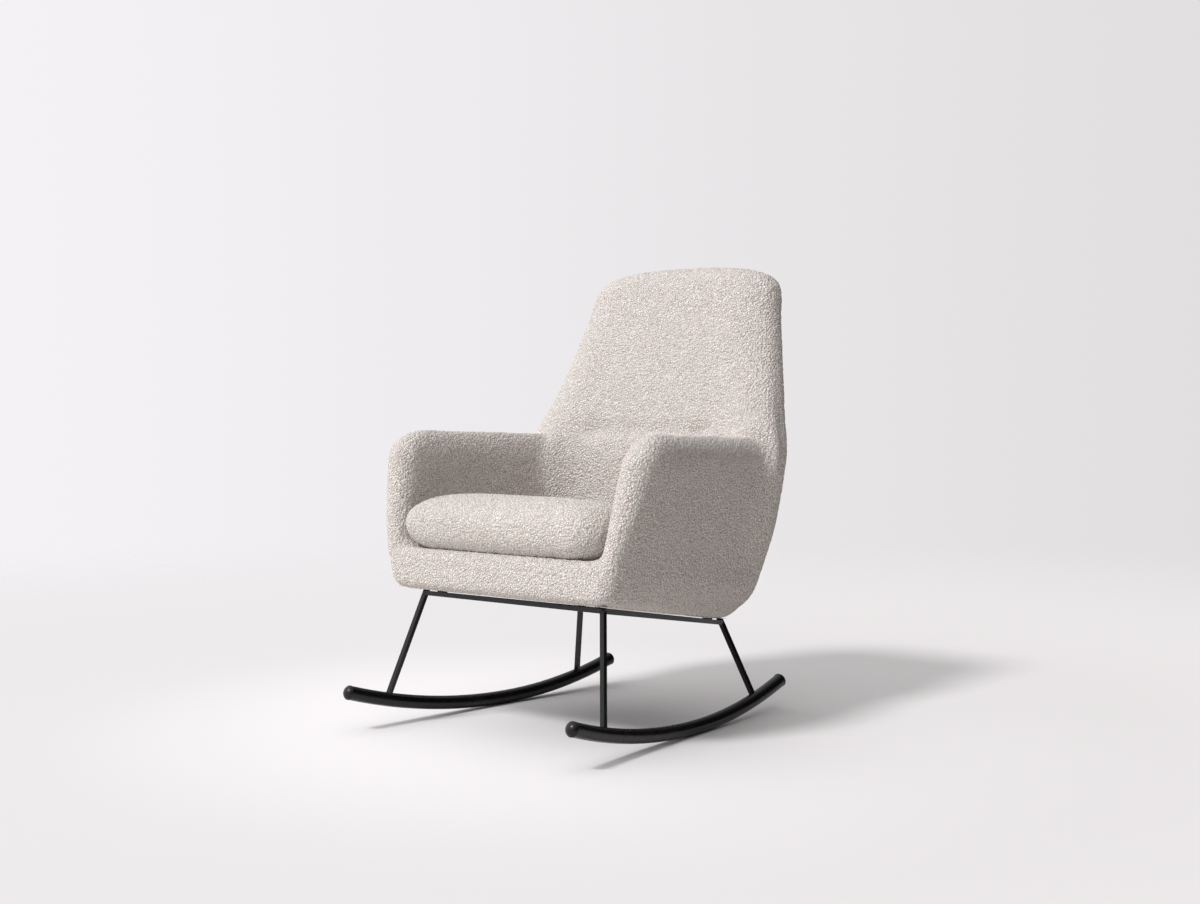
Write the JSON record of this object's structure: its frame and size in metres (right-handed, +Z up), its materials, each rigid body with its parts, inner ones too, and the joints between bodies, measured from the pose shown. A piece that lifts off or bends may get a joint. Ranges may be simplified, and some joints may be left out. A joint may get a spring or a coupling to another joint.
{
  "type": "rocking armchair",
  "caption": "High-back lounge armchair in looped fabric with a loose seat cushion, on a black steel frame with curved tubular rockers.",
  "frame": {"origin": "on the floor, under the centre of the chair's bounding box", "axes": "+Z up, the sitter faces -Y, +X towards the sitter's left arm"},
  "size_m": [0.7282, 0.8237, 0.993],
  "materials": {
    "boucle": "looped wool boucle, cream",
    "black_steel": "satin black powder coat",
    "black_plastic": "black moulded plastic",
    "timber": "raw birch plywood and solid rails",
    "webbing": "woven elastic webbing",
    "dust_cloth": "black non-woven dust cover",
    "foam": "cut polyurethane foam",
    "zinc_steel": "zinc plated",
    "zip_tape": "woven zip tape",
    "zip_metal": "bright metal"
  },
  "bodies": {
    "chair": {"rocker_left": "black_steel", "frame_rail_left": "black_steel", "rocker_cap_front_left": "black_plastic", "leg_front_left": "black_steel", "corner_plate_front_left": "black_steel", "rocker_cap_rear_left": "black_plastic", "leg_rear_left": "black_steel", "corner_plate_rear_left": "black_steel", "seat_rail_left": "timber", "arm_panel_left": "timber", "back_post_left": "timber", "arm_upholstery_left": "boucle", "rocker_right": "black_steel", "frame_rail_right": "black_steel", "rocker_cap_front_right": "black_plastic", "leg_front_right": "black_steel", "corner_plate_front_right": "black_steel", "rocker_cap_rear_right": "black_plastic", "leg_rear_right": "black_steel", "corner_plate_rear_right": "black_steel", "seat_rail_right": "timber", "arm_panel_right": "timber", "back_post_right": "timber", "arm_upholstery_right": "boucle", "frame_rail_front": "black_steel", "frame_rail_rear": "black_steel", "frame_spacer_pads": "black_plastic", "seat_bolt_washers": "zinc_steel", "seat_bolts": "zinc_steel", "barrel_nuts": "zinc_steel", "bearer_screws": "zinc_steel", "seat_board": "timber", "seat_rail_front": "timber", "seat_rail_rear": "timber", "arm_bearer_front": "timber", "arm_bearer_rear": "timber", "back_rail_top": "timber", "back_rail_lumbar": "timber", "seat_webbing": "webbing", "back_webbing": "webbing", "dust_cover": "dust_cloth", "back_upholstery": "boucle", "seat_upholstery": "boucle"},
    "cushion": {"cushion_cover": "boucle", "cushion_core": "foam", "zip_tape": "zip_tape", "zip_chain": "zip_metal"},
    "zip_runner": {"zip_slider": "zip_metal"},
    "zip_tab": {"zip_pull": "zip_metal"}
  },
  "joints": [
    {"name": "cushion_lift", "type": "slide", "parent": "chair", "child": "cushion", "axis": [0, 0, 1], "range_m": [0, 0.12]},
    {"name": "zip_slide", "type": "slide", "parent": "cushion", "child": "zip_runner", "axis": [1, 0, 0], "range_m": [0, 0.36]},
    {"name": "zip_pull_swing", "type": "hinge", "parent": "zip_runner", "child": "zip_tab", "pos_m": [-0.189, 0.17771, 0.32655], "axis": [0, 0.8111, 0.585], "range_deg": [0, 40]}
  ]
}
